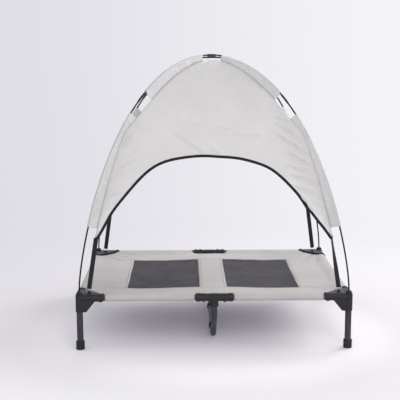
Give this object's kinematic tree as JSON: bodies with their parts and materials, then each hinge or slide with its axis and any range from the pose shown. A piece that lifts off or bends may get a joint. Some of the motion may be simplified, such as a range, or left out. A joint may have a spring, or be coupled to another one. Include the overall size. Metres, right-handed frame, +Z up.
{
  "type": "raised dog bed",
  "caption": "Raised dog bed: a fabric sleeping sheet with mesh windows on a steel tube frame with legs and a floor support, under a lift-off domed canopy on crossed poles.",
  "frame": {"origin": "centre of the bed's footprint on the floor, under the pole crossing", "axes": "+Z up, -Y out of the front long side, +X to the right seen from the front"},
  "size_m": [1.219, 0.919, 1.2835],
  "materials": {
    "steel_tube": "satin black powder coat",
    "bracket_plastic": "fine moulded grain",
    "rubber": "matt black",
    "bolt_steel": "dull zinc plate",
    "bed_fabric": "tight light grey polyester weave",
    "mesh_fabric": "open dark grey mesh",
    "ring_steel": "bright plated wire",
    "pole": "smooth black fibreglass",
    "ferrule": "satin black",
    "canopy_fabric": "thin light grey coated weave",
    "binding": "black grosgrain tape",
    "webbing": "black flat webbing"
  },
  "bodies": {
    "bed": {"corner_bracket_fl": "bracket_plastic", "corner_bracket_fr": "bracket_plastic", "corner_bracket_rl": "bracket_plastic", "corner_bracket_rr": "bracket_plastic", "leg_fl": "steel_tube", "leg_fr": "steel_tube", "leg_rl": "steel_tube", "leg_rr": "steel_tube", "foot_cap_fl": "rubber", "foot_cap_fr": "rubber", "foot_cap_rl": "rubber", "foot_cap_rr": "rubber", "front_rail_left": "steel_tube", "front_rail_right": "steel_tube", "rear_rail_left": "steel_tube", "rear_rail_right": "steel_tube", "side_rail_left": "steel_tube", "side_rail_right": "steel_tube", "centre_bracket_front": "bracket_plastic", "centre_bracket_rear": "bracket_plastic", "centre_bolts": "bolt_steel", "centre_nuts": "bolt_steel", "centre_support": "steel_tube", "support_pads": "rubber", "bed_fabric": "bed_fabric", "mesh_window_left": "mesh_fabric", "mesh_window_right": "mesh_fabric"},
    "canopy": {"pole_over": "pole", "pole_under": "pole", "pole_tips": "pole", "ferrules_over": "ferrule", "ferrules_under": "ferrule", "canopy_front": "canopy_fabric", "canopy_rear": "canopy_fabric", "canopy_left": "canopy_fabric", "canopy_right": "canopy_fabric", "binding_front": "binding", "binding_rear": "binding", "binding_left": "binding", "binding_right": "binding", "ridge_sleeve_fl": "canopy_fabric", "ridge_sleeve_fr": "canopy_fabric", "ridge_sleeve_rl": "canopy_fabric", "ridge_sleeve_rr": "canopy_fabric", "strap_fl": "webbing", "strap_fr": "webbing", "strap_rl": "webbing", "strap_rr": "webbing"},
    "ring_fl": {"strap_ring_fl": "ring_steel"},
    "ring_fr": {"strap_ring_fr": "ring_steel"},
    "ring_rl": {"strap_ring_rl": "ring_steel"},
    "ring_rr": {"strap_ring_rr": "ring_steel"}
  },
  "joints": [
    {"name": "canopy_lift", "type": "slide", "parent": "bed", "child": "canopy", "axis": [0, 0, 1], "range_m": [0, 0.15]},
    {"name": "strap_ring_fl_hinge", "type": "hinge", "parent": "bed", "child": "ring_fl", "pos_m": [-0.54992, -0.41011, 0.251], "axis": [1, 0, 0], "range_deg": [-75, 75]},
    {"name": "strap_ring_fr_hinge", "type": "hinge", "parent": "bed", "child": "ring_fr", "pos_m": [0.54992, -0.41011, 0.251], "axis": [1, 0, 0], "range_deg": [-75, 75]},
    {"name": "strap_ring_rl_hinge", "type": "hinge", "parent": "bed", "child": "ring_rl", "pos_m": [-0.54992, 0.41011, 0.251], "axis": [1, 0, 0], "range_deg": [-75, 75]},
    {"name": "strap_ring_rr_hinge", "type": "hinge", "parent": "bed", "child": "ring_rr", "pos_m": [0.54992, 0.41011, 0.251], "axis": [1, 0, 0], "range_deg": [-75, 75]}
  ]
}
